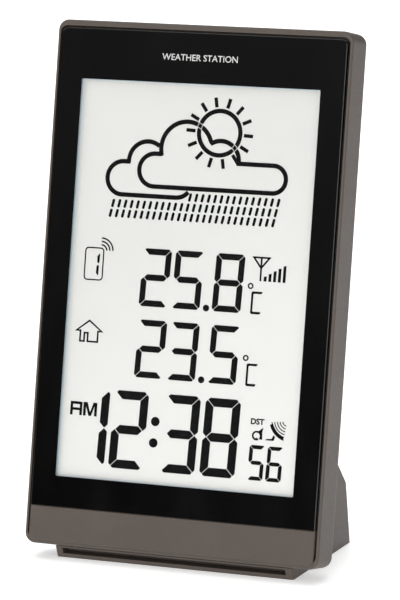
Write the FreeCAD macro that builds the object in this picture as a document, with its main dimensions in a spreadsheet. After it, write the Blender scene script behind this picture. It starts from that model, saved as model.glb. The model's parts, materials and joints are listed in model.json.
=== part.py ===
import FreeCAD, Part
import math
import os
import Sketcher

# Home weather station: a slim display case that leans back in a removable desk stand.
#
# Face frame, used by every piece of the case: X across, Y into the case from the front
# surface of the panel, Z up the panel from its lower edge. The whole case is then leaned
# back about X and lifted onto the stand. The part's own origin is the centre of the
# stand's bottom face, +Z up, with the display facing -Y.

doc = FreeCAD.newDocument("weather_station")
sheet = doc.addObject("Spreadsheet::Sheet", "dims")


class Size:
    """A length or angle that carries its number and the sheet formula it comes from."""

    def __init__(self, number, formula):
        self.number = number
        self.formula = formula

    def __add__(self, other):
        other = as_size(other)
        return Size(self.number + other.number, f"({self.formula} + {other.formula})")

    def __sub__(self, other):
        other = as_size(other)
        return Size(self.number - other.number, f"({self.formula} - {other.formula})")

    def __rsub__(self, other):
        return as_size(other) - self

    def __mul__(self, other):
        other = as_size(other)
        return Size(self.number * other.number, f"({self.formula} * {other.formula})")

    def __truediv__(self, other):
        other = as_size(other)
        return Size(self.number / other.number, f"({self.formula} / {other.formula})")

    def __neg__(self):
        return Size(-self.number, f"(0 - {self.formula})")

    __radd__ = __add__
    __rmul__ = __mul__


def as_size(value):
    return value if isinstance(value, Size) else Size(float(value), repr(float(value)))


def sine(angle):
    return Size(math.sin(math.radians(angle.number)), f"sin({angle.formula})")


def cosine(angle):
    return Size(math.cos(math.radians(angle.number)), f"cos({angle.formula})")


def tangent(angle):
    return Size(math.tan(math.radians(angle.number)), f"tan({angle.formula})")


sheet_rows = 0


def size(name, number):
    """Put one driving dimension in the sheet and return it."""
    global sheet_rows
    sheet_rows += 1
    sheet.set(f"A{sheet_rows}", name)
    sheet.set(f"B{sheet_rows}", str(number))
    sheet.setAlias(f"B{sheet_rows}", name)
    return Size(float(number), f"dims.{name}")


# Clearances
seat_gap = size("seat_gap", 0.1)          # between pieces that are assembled and stay put
air_gap = size("air_gap", 0.25)           # behind the lens, and in front of the battery well
running_gap = size("running_gap", 0.3)    # between pieces that move past each other
pilot_gap = size("pilot_gap", 0.05)       # radial, screw shank in its boss

# Stance
lean = size("lean", 10.4)                 # degrees, panel leaning back from upright
panel_lift = size("panel_lift", 5.33)     # panel's lower edge above the table
panel_setout = size("panel_setout", 4.13)  # panel's lower edge ahead of the stand's front

# Front panel: glossy lens above a plain chin
panel_wide = size("panel_wide", 85.6)
panel_high = size("panel_high", 145.1)
panel_corner = size("panel_corner", 1.9)
panel_proud = size("panel_proud", 0.45)
panel_seam = size("panel_seam", 0.6)
panel_bevel = size("panel_bevel", 0.25)
chin_high = size("chin_high", 9.88)
lens_seam = size("lens_seam", 0.1)
lens_thick = size("lens_thick", 1.2)
tape_thick = size("tape_thick", 0.15)
tape_inset = size("tape_inset", 1.0)
frame_thick = size("frame_thick", 2.0)
frame_lap = size("frame_lap", 1.5)

# Display window and the stack of the liquid crystal display
window_wide = size("window_wide", 71.5)
window_low = size("window_low", 18.62)
window_high = size("window_high", 112.26)
glass_side = size("glass_side", 1.85)
glass_below = size("glass_below", 2.2)
glass_above = size("glass_above", 3.7)
glass_ledge = size("glass_ledge", 3.0)
glass_thick = size("glass_thick", 0.7)
polariser_thick = size("polariser_thick", 0.2)
polariser_over = size("polariser_over", 1.0)
reflector_thick = size("reflector_thick", 0.25)

# Case
rim_side = size("rim_side", 1.4)
rim_top = size("rim_top", 2.3)
rim_low = size("rim_low", 0.9)
case_corner = size("case_corner", 3.0)
case_wall = size("case_wall", 1.7)
case_deep = size("case_deep", 14.0)
case_split = size("case_split", 10.4)
rim_round = size("rim_round", 0.6)
cover_wall = size("cover_wall", 1.6)
cover_round = size("cover_round", 3.0)
flange_thick = size("flange_thick", 1.2)
flange_margin = size("flange_margin", 1.1)
lip_thick = size("lip_thick", 0.8)
lip_long = size("lip_long", 1.2)

# Display holder and main board
holder_thick = size("holder_thick", 1.0)
holder_over = size("holder_over", 2.2)
board_thick = size("board_thick", 1.2)
board_wide = size("board_wide", 74.0)
board_low = size("board_low", 78.0)
board_top = size("board_top", 138.0)
board_post = size("board_post", 0.55)
board_round = size("board_round", 1.0)
board_hole_x = size("board_hole_x", 33.0)
board_hole_low = size("board_hole_low", 82.0)
board_hole_top = size("board_hole_top", 127.0)
zebra_wide = size("zebra_wide", 68.0)
zebra_high = size("zebra_high", 2.2)

# Two AAA cells side by side in a well at the back
cell_radius = size("cell_radius", 5.25)
cell_long = size("cell_long", 43.5)
nub_long = size("nub_long", 1.0)
nub_radius = size("nub_radius", 1.9)
cell_pitch = size("cell_pitch", 11.0)
cell_room = size("cell_room", 0.2)
cell_round = size("cell_round", 0.6)
spring_long = size("spring_long", 5.3)
leaf_reach = size("leaf_reach", 4.4)
leaf_thick = size("leaf_thick", 0.6)
leaf_wide = size("leaf_wide", 6.0)
contact_thick = size("contact_thick", 0.4)
contact_half = size("contact_half", 3.94)
well_centre = size("well_centre", 61.0)
well_wall = size("well_wall", 1.2)
well_floor = size("well_floor", 0.8)
door_thick = size("door_thick", 1.2)
door_end = size("door_end", 1.6)
grip_low = size("grip_low", 4.0)
grip_pitch = size("grip_pitch", 1.8)
grip_half = size("grip_half", 8.0)
grip_wide = size("grip_wide", 0.8)
rail_out = size("rail_out", 0.8)
rail_high = size("rail_high", 0.7)

# Small components on the back of the main board
chip_x = size("chip_x", -6.0)
chip_row = size("chip_row", 93.0)
chip_radius = size("chip_radius", 6.0)
chip_high = size("chip_high", 1.6)
chip_round = size("chip_round", 1.2)
crystal_x = size("crystal_x", 6.0)
crystal_row = size("crystal_row", 90.0)
crystal_long = size("crystal_long", 6.5)
crystal_radius = size("crystal_radius", 1.0)
capacitor_x = size("capacitor_x", 14.0)
capacitor_row = size("capacitor_row", 97.0)
capacitor_long = size("capacitor_long", 7.0)
capacitor_radius = size("capacitor_radius", 2.0)
capacitor_round = size("capacitor_round", 0.3)
sensor_leg = size("sensor_leg", 0.5)
sensor_pitch = size("sensor_pitch", 1.7)
sensor_lift = size("sensor_lift", 2.2)
sensor_radius = size("sensor_radius", 1.3)
sensor_high = size("sensor_high", 1.8)
sensor_round = size("sensor_round", 0.6)
resistor_x = size("resistor_x", -30.0)
resistor_row = size("resistor_row", 88.0)
resistor_pitch = size("resistor_pitch", 3.0)
resistor_wide = size("resistor_wide", 0.8)
resistor_long = size("resistor_long", 1.6)
resistor_high = size("resistor_high", 0.5)

# Keys on the back
key_row = size("key_row", 108.0)
key_pitch = size("key_pitch", 12.0)
key_wide = size("key_wide", 7.4)
key_high = size("key_high", 4.4)
key_proud = size("key_proud", 0.9)
key_flange = size("key_flange", 1.0)
key_foot = size("key_foot", 0.6)
key_round = size("key_round", 2.0)
switch_side = size("switch_side", 6.0)
switch_high = size("switch_high", 3.0)
stem_radius = size("stem_radius", 1.6)
stem_deep = size("stem_deep", 1.2)
stem_well = size("stem_well", 2.0)

# Aerial for the time signal, buzzer, receiver board and small parts
rod_radius = size("rod_radius", 2.5)
rod_long = size("rod_long", 50.0)
rod_row = size("rod_row", 40.0)
coil_radius = size("coil_radius", 3.1)
coil_long = size("coil_long", 20.0)
clip_long = size("clip_long", 3.0)
clip_half = size("clip_half", 3.9)
buzzer_x = size("buzzer_x", -24.0)
buzzer_row = size("buzzer_row", 126.0)
buzzer_radius = size("buzzer_radius", 9.0)
buzzer_thick = size("buzzer_thick", 0.5)
element_radius = size("element_radius", 6.3)
sound_radius = size("sound_radius", 0.8)
sound_ring = size("sound_ring", 3.2)
radio_x = size("radio_x", 22.0)
radio_row = size("radio_row", 126.0)
radio_wide = size("radio_wide", 20.0)
radio_high = size("radio_high", 12.0)
radio_thick = size("radio_thick", 0.8)
pin_high = size("pin_high", 1.4)
pin_side = size("pin_side", 0.64)
pin_pitch = size("pin_pitch", 2.54)
pin_start = size("pin_start", 2.0)
pin_edge = size("pin_edge", 0.8)
radio_chip_side = size("radio_chip_side", 6.0)
radio_chip_high = size("radio_chip_high", 1.2)

# Screws
screw_radius = size("screw_radius", 1.1)
screw_head = size("screw_head", 2.3)
screw_head_thick = size("screw_head_thick", 1.4)
screw_sink = size("screw_sink", 0.6)
screw_x = size("screw_x", 38.2)
screw_edge = size("screw_edge", 6.0)
screw_boss = size("screw_boss", 2.1)
boss_radius = size("boss_radius", 3.0)
frame_screw_low = size("frame_screw_low", 4.8)
frame_screw_top = size("frame_screw_top", 4.5)
holder_screw_out = size("holder_screw_out", 1.8)
small_screw_radius = size("small_screw_radius", 0.8)
small_screw_head = size("small_screw_head", 1.6)
small_screw_thick = size("small_screw_thick", 0.9)
small_screw_bite = size("small_screw_bite", 1.3)
driver_slot = size("driver_slot", 0.5)
driver_reach = 0.6                        # share of the head's radius
driver_deep = 0.6                         # share of the head's thickness

# Wall hanger, sensor vents
hanger_row = size("hanger_row", 132.0)
hanger_head = size("hanger_head", 3.6)
hanger_neck = size("hanger_neck", 1.9)
hanger_rise = size("hanger_rise", 6.5)
vent_x = size("vent_x", 35.0)
vent_row = size("vent_row", 92.0)
vent_wide = size("vent_wide", 1.2)
vent_high = size("vent_high", 10.0)
vent_pitch = size("vent_pitch", 2.6)

# Desk stand
stand_wide = size("stand_wide", 71.5)
stand_deep = size("stand_deep", 47.2)
stand_high = size("stand_high", 42.4)     # top edge of the block, measured up the panel
stand_wall = size("stand_wall", 1.8)
stand_corner = size("stand_corner", 1.2)
knee_high = size("knee_high", 18.6)
knee_round = size("knee_round", 2.5)
back_rake = size("back_rake", 10.95)      # degrees, back of the block leaning forward
bar_setback = size("bar_setback", 2.9)
bar_slot_low = size("bar_slot_low", 1.3)
bar_slot_top = size("bar_slot_top", 3.05)
bar_slot_deep = size("bar_slot_deep", 3.4)
bar_slot_end = size("bar_slot_end", 2.1)
bar_corner = size("bar_corner", 0.6)
foot_thick = size("foot_thick", 1.5)
foot_seat = size("foot_seat", 0.9)
foot_post = size("foot_post", 3.2)
foot_screw_x = size("foot_screw_x", 27.0)
foot_screw_y = size("foot_screw_y", 9.0)
foot_screw_mid = size("foot_screw_mid", 7.0)
foot_post_high = size("foot_post_high", 12.0)
foot_hole_end = size("foot_hole_end", 2.0)
foot_screw_end = size("foot_screw_end", 3.0)
plate_front = size("plate_front", 1.2)
plate_back = size("plate_back", 0.4)
corner_from = size("corner_from", 8.0)
foot_rib = size("foot_rib", 1.2)
hook_x = size("hook_x", 20.0)
hook_low = size("hook_low", 4.0)
hook_top = size("hook_top", 28.0)
hook_neck = size("hook_neck", 3.0)
hook_head = size("hook_head", 6.0)
hook_head_thick = size("hook_head_thick", 1.0)
hook_floor = size("hook_floor", 1.2)
hook_side = size("hook_side", 2.0)

doc.recompute()

# Places worked out from the sizes above
half_panel = panel_wide / 2
half_case = half_panel + rim_side
case_low = -rim_low
case_top = panel_high + rim_top
inner_half = half_case - case_wall
inner_low = case_low + case_wall
inner_top = case_top - case_wall
frame_front = lens_thick + tape_thick
frame_back = frame_front + frame_thick
flange_front = frame_back + seat_gap
flange_back = flange_front + flange_thick

half_window = window_wide / 2
window_top = window_low + window_high
half_glass = half_window + glass_side
glass_low = window_low - glass_below
glass_top = window_top + glass_above
polariser_front = lens_thick + air_gap
glass_front = polariser_front + polariser_thick
glass_middle = glass_front + glass_thick
glass_back = glass_middle + glass_thick
reflector_back = glass_back + reflector_thick

pad_front = reflector_back + seat_gap
holder_front = flange_back + seat_gap
holder_back = holder_front + holder_thick
board_front = holder_back + board_post
board_back = board_front + board_thick
cover_inside = case_deep - cover_wall

well_bottom = holder_back + air_gap
well_inside = well_bottom + well_floor
cell_depth = well_inside + cell_room + cell_radius
well_half = (cell_long + nub_long + spring_long) / 2 + contact_thick
well_half_high = cell_pitch / 2 + cell_radius + cell_room * 2
well_low = well_centre - well_half_high
well_top = well_centre + well_half_high
door_inside = cell_depth + cell_radius + running_gap
door_back = door_inside + door_thick
door_front = case_deep + running_gap
well_outer = well_half + well_wall
door_half = well_outer + rail_out + running_gap + door_thick

switch_top = board_back + switch_high
stem_bottom = switch_top - stem_deep
foot_back = cover_inside - running_gap
foot_front = foot_back - key_foot

stand_front_w = case_deep + running_gap
seat_v = case_low - running_gap
stand_half = stand_wide / 2


def face_y(w, v):
    """Part-frame Y of the face-frame point that is w deep and v up the panel."""
    return v * sine(lean) + w * cosine(lean) - stand_deep / 2 - panel_setout


def face_z(w, v):
    return panel_lift + v * cosine(lean) - w * sine(lean)


PLANES = {"face": "XZ_Plane", "side": "YZ_Plane", "floor": "XY_Plane"}


def new_body(label):
    body = doc.addObject("PartDesign::Body", label)
    body.Label = label
    return body


def plane_of(body, plane):
    for feature in body.Origin.OriginFeatures:
        if feature.Role == PLANES[plane]:
            return feature
    raise RuntimeError(f"{body.Label} has no {plane} plane")


def hold(sketch, axis, geometry, vertex, value):
    """Fix one coordinate of a sketch vertex to a size."""
    if abs(value.number) < 1e-9:
        line = -2 if axis == "DistanceX" else -1
        sketch.addConstraint(Sketcher.Constraint("PointOnObject", geometry, vertex, line))
        return
    if value.number > 0:
        ends = (-1, 1, geometry, vertex)
        held = value
    else:
        ends = (geometry, vertex, -1, 1)
        held = -value
    index = sketch.addConstraint(Sketcher.Constraint(axis, *ends, held.number))
    sketch.setExpression(f"Constraints[{index}]", held.formula)


def draw_polygon(sketch, points):
    count = len(points)
    corners = [FreeCAD.Vector(x.number, y.number, 0) for x, y in points]
    lines = [Part.LineSegment(corners[i], corners[(i + 1) % count]) for i in range(count)]
    first = sketch.addGeometry(lines, False)[0]
    for i in range(count):
        joint = Sketcher.Constraint("Coincident", first + i, 2, first + (i + 1) % count, 1)
        sketch.addConstraint(joint)
    for i, (x, y) in enumerate(points):
        hold(sketch, "DistanceX", first + i, 1, x)
        hold(sketch, "DistanceY", first + i, 1, y)


def draw_circle(sketch, x, y, radius):
    circle = Part.Circle(FreeCAD.Vector(x.number, y.number, 0), FreeCAD.Vector(0, 0, 1), radius.number)
    index = sketch.addGeometry(circle, False)
    hold(sketch, "DistanceX", index, 3, x)
    hold(sketch, "DistanceY", index, 3, y)
    bound = sketch.addConstraint(Sketcher.Constraint("Radius", index, radius.number))
    sketch.setExpression(f"Constraints[{bound}]", radius.formula)


def box(left, right, low, top):
    left, right, low, top = (as_size(value) for value in (left, right, low, top))
    return [(left, low), (right, low), (right, top), (left, top)]


def new_sketch(body, plane, offset, polygons=(), circles=(), leaned=False):
    """A sketch on one of the body's planes, moved to offset along the part's own axis.

    A leaned sketch lies in the face frame of the case, in a body that stands upright.
    """
    sketch = body.newObject("Sketcher::SketchObject", f"{body.Label}_sketch")
    sketch.AttachmentSupport = (plane_of(body, plane), "")
    sketch.MapMode = "FlatFace"
    offset = as_size(offset)
    if leaned:
        turn = FreeCAD.Rotation(FreeCAD.Vector(-1, 0, 0), lean.number)
        sketch.AttachmentOffset = FreeCAD.Placement(FreeCAD.Vector(), turn)
        sketch.setExpression("AttachmentOffset.Rotation.Angle", lean.formula)
        sketch.setExpression("AttachmentOffset.Base.y", face_z(offset, as_size(0)).formula)
        sketch.setExpression("AttachmentOffset.Base.z", (-face_y(offset, as_size(0))).formula)
    else:
        along = -offset if plane == "face" else offset
        sketch.setExpression("AttachmentOffset.Base.z", along.formula)
    for points in polygons:
        draw_polygon(sketch, [(as_size(x), as_size(y)) for x, y in points])
    for x, y, radius in circles:
        draw_circle(sketch, as_size(x), as_size(y), as_size(radius))
    return sketch


def extrude(body, kind, plane, start, end, polygons, circles, leaned, both_ways):
    before = body.Shape.Volume if body.Tip else 0.0
    offset = as_size(0) if both_ways else as_size(start)
    sketch = new_sketch(body, plane, offset, polygons, circles, leaned)
    feature = body.newObject(f"PartDesign::{kind}", f"{body.Label}_{kind.lower()}")
    feature.Profile = sketch
    if both_ways:
        feature.setExpression("Length", (as_size(end) * 2).formula)
        feature.Midplane = True
    else:
        feature.setExpression("Length", (as_size(end) - as_size(start)).formula)
        towards_plus = plane != "face"
        feature.Reversed = not towards_plus if kind == "Pad" else towards_plus
    body.Tip = feature
    doc.recompute()
    require_good(feature)
    change = body.Shape.Volume - before
    if (change <= 1e-6) if kind == "Pad" else (change >= -1e-6):
        raise RuntimeError(f"{feature.Name} of {body.Label} changed the volume by {change}")
    return feature


def add(body, plane, start, end, polygons=(), circles=(), leaned=False):
    """Pad from start to end along +Y (face), +X (side) or +Z (floor)."""
    return extrude(body, "Pad", plane, start, end, polygons, circles, leaned, False)


def cut(body, plane, start, end, polygons=(), circles=(), leaned=False):
    return extrude(body, "Pocket", plane, start, end, polygons, circles, leaned, False)


def add_across(body, half, polygons=(), circles=()):
    """Pad a side profile the same distance to the left and to the right."""
    return extrude(body, "Pad", "side", None, half, polygons, circles, False, True)


def cut_across(body, half, polygons=(), circles=()):
    return extrude(body, "Pocket", "side", None, half, polygons, circles, False, True)


def require_good(feature):
    if "Invalid" in feature.State or "Error" in feature.State:
        raise RuntimeError(f"{feature.Name} failed: {feature.getStatusString()}")


def near(a, b):
    return abs(a - as_size(b).number) < 1e-4


def runs_along(edge, axis):
    """True for an edge that is parallel to the axis."""
    box_of = edge.BoundBox
    lengths = {"x": box_of.XLength, "y": box_of.YLength, "z": box_of.ZLength}
    return all(length < 1e-5 for name, length in lengths.items() if name != axis)


def lies_at(edge, y):
    return near(edge.BoundBox.YMin, y) and near(edge.BoundBox.YMax, y)


def dress(body, kind, size_name, amount, wanted):
    """Fillet or chamfer the edges of the body's tip that the wanted test picks."""
    base = body.Tip
    names = [f"Edge{i}" for i, edge in enumerate(base.Shape.Edges, 1) if wanted(edge)]
    if not names:
        raise RuntimeError(f"no edge of {body.Label} to dress")
    feature = body.newObject(f"PartDesign::{kind}", f"{body.Label}_{kind.lower()}")
    feature.Base = (base, names)
    feature.setExpression(size_name, as_size(amount).formula)
    body.Tip = feature
    doc.recompute()
    require_good(feature)
    return feature


def fillet(body, radius, wanted):
    return dress(body, "Fillet", "Radius", radius, wanted)


def chamfer(body, amount, wanted):
    return dress(body, "Chamfer", "Size", amount, wanted)


def corner_edges(*corners):
    """A test for edges along Y at the given X, Z corners."""
    def wanted(edge):
        centre = edge.CenterOfMass
        return runs_along(edge, "y") and any(near(centre.x, x) and near(centre.z, z) for x, z in corners)
    return wanted


def outline_edges(y, half, low, top):
    """A test for edges at depth y that belong to the outer outline."""
    def wanted(edge):
        box_of = edge.BoundBox
        reaches_side = near(max(-box_of.XMin, box_of.XMax), half)
        return lies_at(edge, y) and (reaches_side or near(box_of.ZMin, low) or near(box_of.ZMax, top))
    return wanted


def four_corners(half, low, top):
    return [(side * half, end) for side in (-1, 1) for end in (low, top)]


def mirrored(x):
    return [-x, x]


case_nodes = []
stand_nodes = []


def case_body(label):
    body = new_body(label)
    case_nodes.append(body)
    return body


def stand_body(label):
    body = new_body(label)
    stand_nodes.append(body)
    return body


def front_lens():
    body = case_body("front_lens")
    low = chin_high + lens_seam
    add(body, "face", 0, lens_thick, [box(-half_panel, half_panel, low, panel_high)])
    fillet(body, panel_corner, corner_edges((-half_panel, panel_high), (half_panel, panel_high)))
    chamfer(body, panel_bevel, lambda edge: lies_at(edge, 0) and not near(edge.BoundBox.ZMax, low))


def lens_tape():
    body = case_body("lens_tape")
    half = half_panel - tape_inset
    low = chin_high + lens_seam + tape_inset
    room = seat_gap * 3
    add(body, "face", lens_thick, frame_front, [
        box(-half, half, low, panel_high - tape_inset),
        box(-half_glass - room, half_glass + room, glass_low - room, glass_top + room),
    ])


def front_frame():
    """Plate behind the lens, with the chin strip standing forward of it along the bottom."""
    body = case_body("front_frame")
    lap_front = panel_proud - seat_gap
    add(body, "face", frame_front, frame_back, [box(-half_panel, half_panel, frame_lap, panel_high)])
    add(body, "face", lap_front, frame_front, [box(-half_panel, half_panel, frame_lap, chin_high)])
    fillet(body, panel_corner, corner_edges(*four_corners(half_panel, frame_lap, panel_high)))
    add(body, "face", 0, lap_front, [box(-half_panel, half_panel, 0, chin_high)])
    fillet(body, panel_corner, corner_edges((-half_panel, as_size(0)), (half_panel, as_size(0))))
    chamfer(body, panel_bevel, lambda edge: lies_at(edge, 0))
    room = seat_gap * 3
    cut(body, "face", frame_front, frame_back,
        [box(-half_glass - room, half_glass + room, glass_low - room, glass_top + room)])
    cut(body, "face", frame_back - small_screw_bite, frame_back, circles=[
        (x, z, small_screw_radius + pilot_gap) for x in mirrored(hook_x) for z in frame_screw_rows()])


def frame_screw_rows():
    return [inner_low + frame_screw_low, inner_top - frame_screw_top]


def case_screw_spots():
    return [(x, z) for x in mirrored(screw_x) for z in (case_low + screw_edge, case_top - screw_edge)]


def holder_screw_spots():
    x = half_glass + flange_margin + holder_screw_out
    return [(side * x, z) for side in (-1, 1) for z in (rod_row, key_row)]


def case_shell():
    body = case_body("case_shell")
    add(body, "face", panel_proud, case_split, [box(-half_case, half_case, case_low, case_top)])
    fillet(body, case_corner, corner_edges(*four_corners(half_case, case_low, case_top)))
    recess = half_panel + panel_seam
    cut(body, "face", panel_proud, flange_front, [box(-recess, recess, inner_low, panel_high + panel_seam)])
    fillet(body, panel_corner, corner_edges(*four_corners(recess, inner_low, panel_high + panel_seam)))
    fillet(body, rim_round, outline_edges(panel_proud, half_case, case_low, case_top))
    cut(body, "face", flange_back, case_split, [box(-inner_half, inner_half, inner_low, inner_top)])
    fillet(body, panel_corner, corner_edges(*four_corners(inner_half, inner_low, inner_top)))
    opening = half_glass + flange_margin
    cut(body, "face", flange_front, flange_back,
        [box(-opening, opening, glass_low - flange_margin, glass_top + flange_margin)])
    post_top = cover_inside - screw_boss - seat_gap
    add(body, "face", flange_back, post_top, circles=[(x, z, boss_radius) for x, z in case_screw_spots()])
    cut(body, "face", flange_back, post_top,
        circles=[(x, z, screw_radius + pilot_gap) for x, z in case_screw_spots()])
    cut(body, "face", flange_front, flange_back,
        circles=[(x, z, small_screw_radius + seat_gap)
                 for x in mirrored(hook_x) for z in frame_screw_rows()])
    cut(body, "face", flange_front, flange_back,
        circles=[(x, z, small_screw_radius + pilot_gap) for x, z in holder_screw_spots()])


def screw_seat():
    """Depth of the face that the case screws' heads bear on."""
    return case_deep - screw_sink - screw_head_thick


def rear_cover():
    body = case_body("rear_cover")
    add(body, "face", case_split, case_deep, [box(-half_case, half_case, case_low, case_top)])
    fillet(body, case_corner, corner_edges(*four_corners(half_case, case_low, case_top)))
    fillet(body, cover_round, lambda edge: lies_at(edge, case_deep))
    cut(body, "face", case_split, cover_inside, [box(-inner_half, inner_half, inner_low, inner_top)])
    cover_lip(body)
    cover_bosses(body)
    battery_well(body)
    hook_grooves(body)
    key_holes(body)
    hanger_hole(body)
    cover_vents(body)


def cover_lip(body):
    outer = inner_half - seat_gap * 1.5
    low = inner_low + seat_gap * 1.5
    top = inner_top - seat_gap * 1.5
    ring = [box(-outer, outer, low, top),
            box(lip_thick - outer, outer - lip_thick, low + lip_thick, top - lip_thick)]
    add(body, "face", case_split - lip_long, cover_inside, ring)
    fillet(body, panel_corner, corner_edges(*four_corners(outer, low, top)))


def cover_bosses(body):
    start = cover_inside - screw_boss
    add(body, "face", start, cover_inside, circles=[(x, z, boss_radius) for x, z in case_screw_spots()])
    cut(body, "face", start, case_deep,
        circles=[(x, z, screw_radius + seat_gap * 2) for x, z in case_screw_spots()])
    cut(body, "face", screw_seat(), case_deep,
        circles=[(x, z, screw_head + seat_gap * 2) for x, z in case_screw_spots()])


def battery_well(body):
    wall_low = well_low - well_wall
    wall_top = well_top + well_wall
    rim = door_inside - running_gap
    add(body, "face", well_bottom, rim, [box(-well_outer, well_outer, wall_low, wall_top)])
    rail_low = door_front + rail_high + running_gap
    add(body, "face", rail_low, rail_low + rail_high,
        [box(-well_outer - rail_out, well_outer + rail_out, wall_low, wall_top)])
    add(body, "face", cover_inside, door_back,
        [box(-door_half, door_half, wall_low - door_end, wall_low)])
    cut(body, "face", well_inside, rim, [box(-well_half, well_half, well_low, well_top)])
    fillet(body, well_wall, lambda edge: near(edge.BoundBox.ZMin, wall_low - door_end)
           and near(edge.BoundBox.ZMax, wall_low - door_end)
           and edge.BoundBox.YMax > case_deep.number + 0.01)


def hook_grooves(body):
    """T-shaped grooves, open at the bottom edge, that the stand's hooks slide into."""
    neck = hook_neck / 2 + running_gap
    head = hook_head / 2 + running_gap
    top = hook_top + running_gap
    pad = head + hook_side
    head_front = groove_front()
    for x in mirrored(hook_x):
        add(body, "face", head_front - hook_floor, cover_inside,
            [box(x - pad, x + pad, inner_low + seat_gap * 3, top + hook_side)])
    for x in mirrored(hook_x):
        cut(body, "face", head_front, cover_inside, [box(x - head, x + head, case_low, top)])
        cut(body, "face", cover_inside, case_deep, [box(x - neck, x + neck, case_low, top)])


def groove_front():
    return cover_inside - hook_head_thick - running_gap * 2


def key_spots():
    return [(key_pitch * place, name) for place, name in
            ((-2, "set"), (-1, "minus"), (0, "plus"), (1, "channel"), (2, "alarm"))]


def key_holes(body):
    half = key_wide / 2 + running_gap
    rise = key_high / 2 + running_gap
    openings = [box(x - half, x + half, key_row - rise, key_row + rise) for x, _ in key_spots()]
    cut(body, "face", cover_inside, case_deep, openings)
    corners = [(x + side * half, key_row + end * rise) for x, _ in key_spots()
               for side in (-1, 1) for end in (-1, 1)]
    fillet(body, key_round + running_gap, corner_edges(*corners))


def hanger_hole(body):
    """Keyhole that hangs the case on a screw in the wall."""
    centre = as_size(0)
    cut(body, "face", cover_inside, case_deep, circles=[(centre, hanger_row, hanger_head)])
    cut(body, "face", cover_inside, case_deep,
        [box(-hanger_neck, hanger_neck, hanger_row, hanger_row + hanger_rise)])
    cut(body, "face", cover_inside, case_deep, circles=[(centre, hanger_row + hanger_rise, hanger_neck)])


def cover_vents(body):
    slots = []
    for place in (-1, 0, 1, 2):
        x = vent_x + vent_pitch * (place - 1)
        slots.append(box(x - vent_wide / 2, x + vent_wide / 2,
                         vent_row - vent_high / 2, vent_row + vent_high / 2))
    cut(body, "face", cover_inside, case_deep, slots)
    holes = [(buzzer_x, buzzer_row, sound_radius)]
    for turn in range(6):
        angle = math.radians(60 * turn)
        holes.append((buzzer_x + sound_ring * math.cos(angle), buzzer_row + sound_ring * math.sin(angle),
                      sound_radius))
    cut(body, "face", cover_inside, case_deep, circles=holes)


def battery_door():
    body = case_body("battery_door")
    low = well_low - well_wall + running_gap
    wall_top = well_top + well_wall
    top = wall_top + running_gap + door_thick
    add(body, "face", door_front, door_back, [box(-door_half, door_half, low, top)])
    corners = [(-door_half, top), (door_half, top)]
    fillet(body, well_wall, lambda edge: corner_edges(*corners)(edge)
           or (lies_at(edge, door_back) and edge.BoundBox.ZMax > low.number + 0.01))
    inside = door_half - door_thick
    cut(body, "face", door_front, door_inside, [box(-inside, inside, low, wall_top + running_gap)])
    lip = well_outer + running_gap
    for side in (-1, 1):
        x_a, x_b = side * lip, side * inside
        left, right = (x_a, x_b) if side > 0 else (x_b, x_a)
        add(body, "face", door_front, door_front + rail_high,
            [box(left, right, low, wall_top + running_gap)])
    deep = door_thick / 3
    for place in range(4):
        z = low + grip_low + place * grip_pitch
        cut(body, "face", door_back - deep, door_back, [box(-grip_half, grip_half, z, z + grip_wide)])


def battery_cells():
    body = case_body("battery_cells")
    start = contact_thick - well_half
    for row, towards in ((1, 1), (-1, -1)):
        z = well_centre + row * cell_pitch / 2
        if towards > 0:
            body_start = start + spring_long
            nub_start = body_start + cell_long
        else:
            nub_start = start
            body_start = nub_start + nub_long
        add(body, "side", body_start, body_start + cell_long, circles=[(cell_depth, z, cell_radius)])
        add(body, "side", nub_start, nub_start + nub_long, circles=[(cell_depth, z, nub_radius)])
    fillet(body, cell_round, lambda edge: abs(edge.BoundBox.YLength - 2 * cell_radius.number) < 1e-3
           and edge.BoundBox.XLength < 1e-5)


def plate_contacts():
    body = case_body("battery_contacts")
    rows = [well_centre + row * cell_pitch / 2 for row in (-1, 1)]
    plates = [box(cell_depth - contact_half, cell_depth + contact_half, z - contact_half, z + contact_half)
              for z in rows]
    add(body, "side", -well_half, contact_thick - well_half, plates)
    add(body, "side", well_half - contact_thick, well_half, plates)


def display_stack():
    stack = (
        ("front_polariser", polariser_front, glass_front, polariser_over, window_top + polariser_over),
        ("lcd_front_glass", glass_front, glass_middle, glass_side, glass_top),
        ("lcd_rear_glass", glass_middle, glass_back, glass_side, glass_top - glass_ledge),
        ("reflector", glass_back, reflector_back, polariser_over, window_top + seat_gap * 4),
    )
    for name, front, back, over, top in stack:
        body = case_body(name)
        low = glass_low if over is glass_side else window_low - over
        half = half_window + over
        add(body, "face", front, back, [box(-half, half, low, top)])


def zebra_rows():
    low = glass_top - glass_ledge + seat_gap * 4
    return low, low + zebra_high


def zebra_strip():
    body = case_body("zebra_strip")
    low, top = zebra_rows()
    add(body, "face", glass_middle, board_front, [box(-zebra_wide / 2, zebra_wide / 2, low, top)])


def board_screw_spots():
    return [(x, z) for x in mirrored(board_hole_x) for z in (board_hole_low, board_hole_top)]


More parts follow.
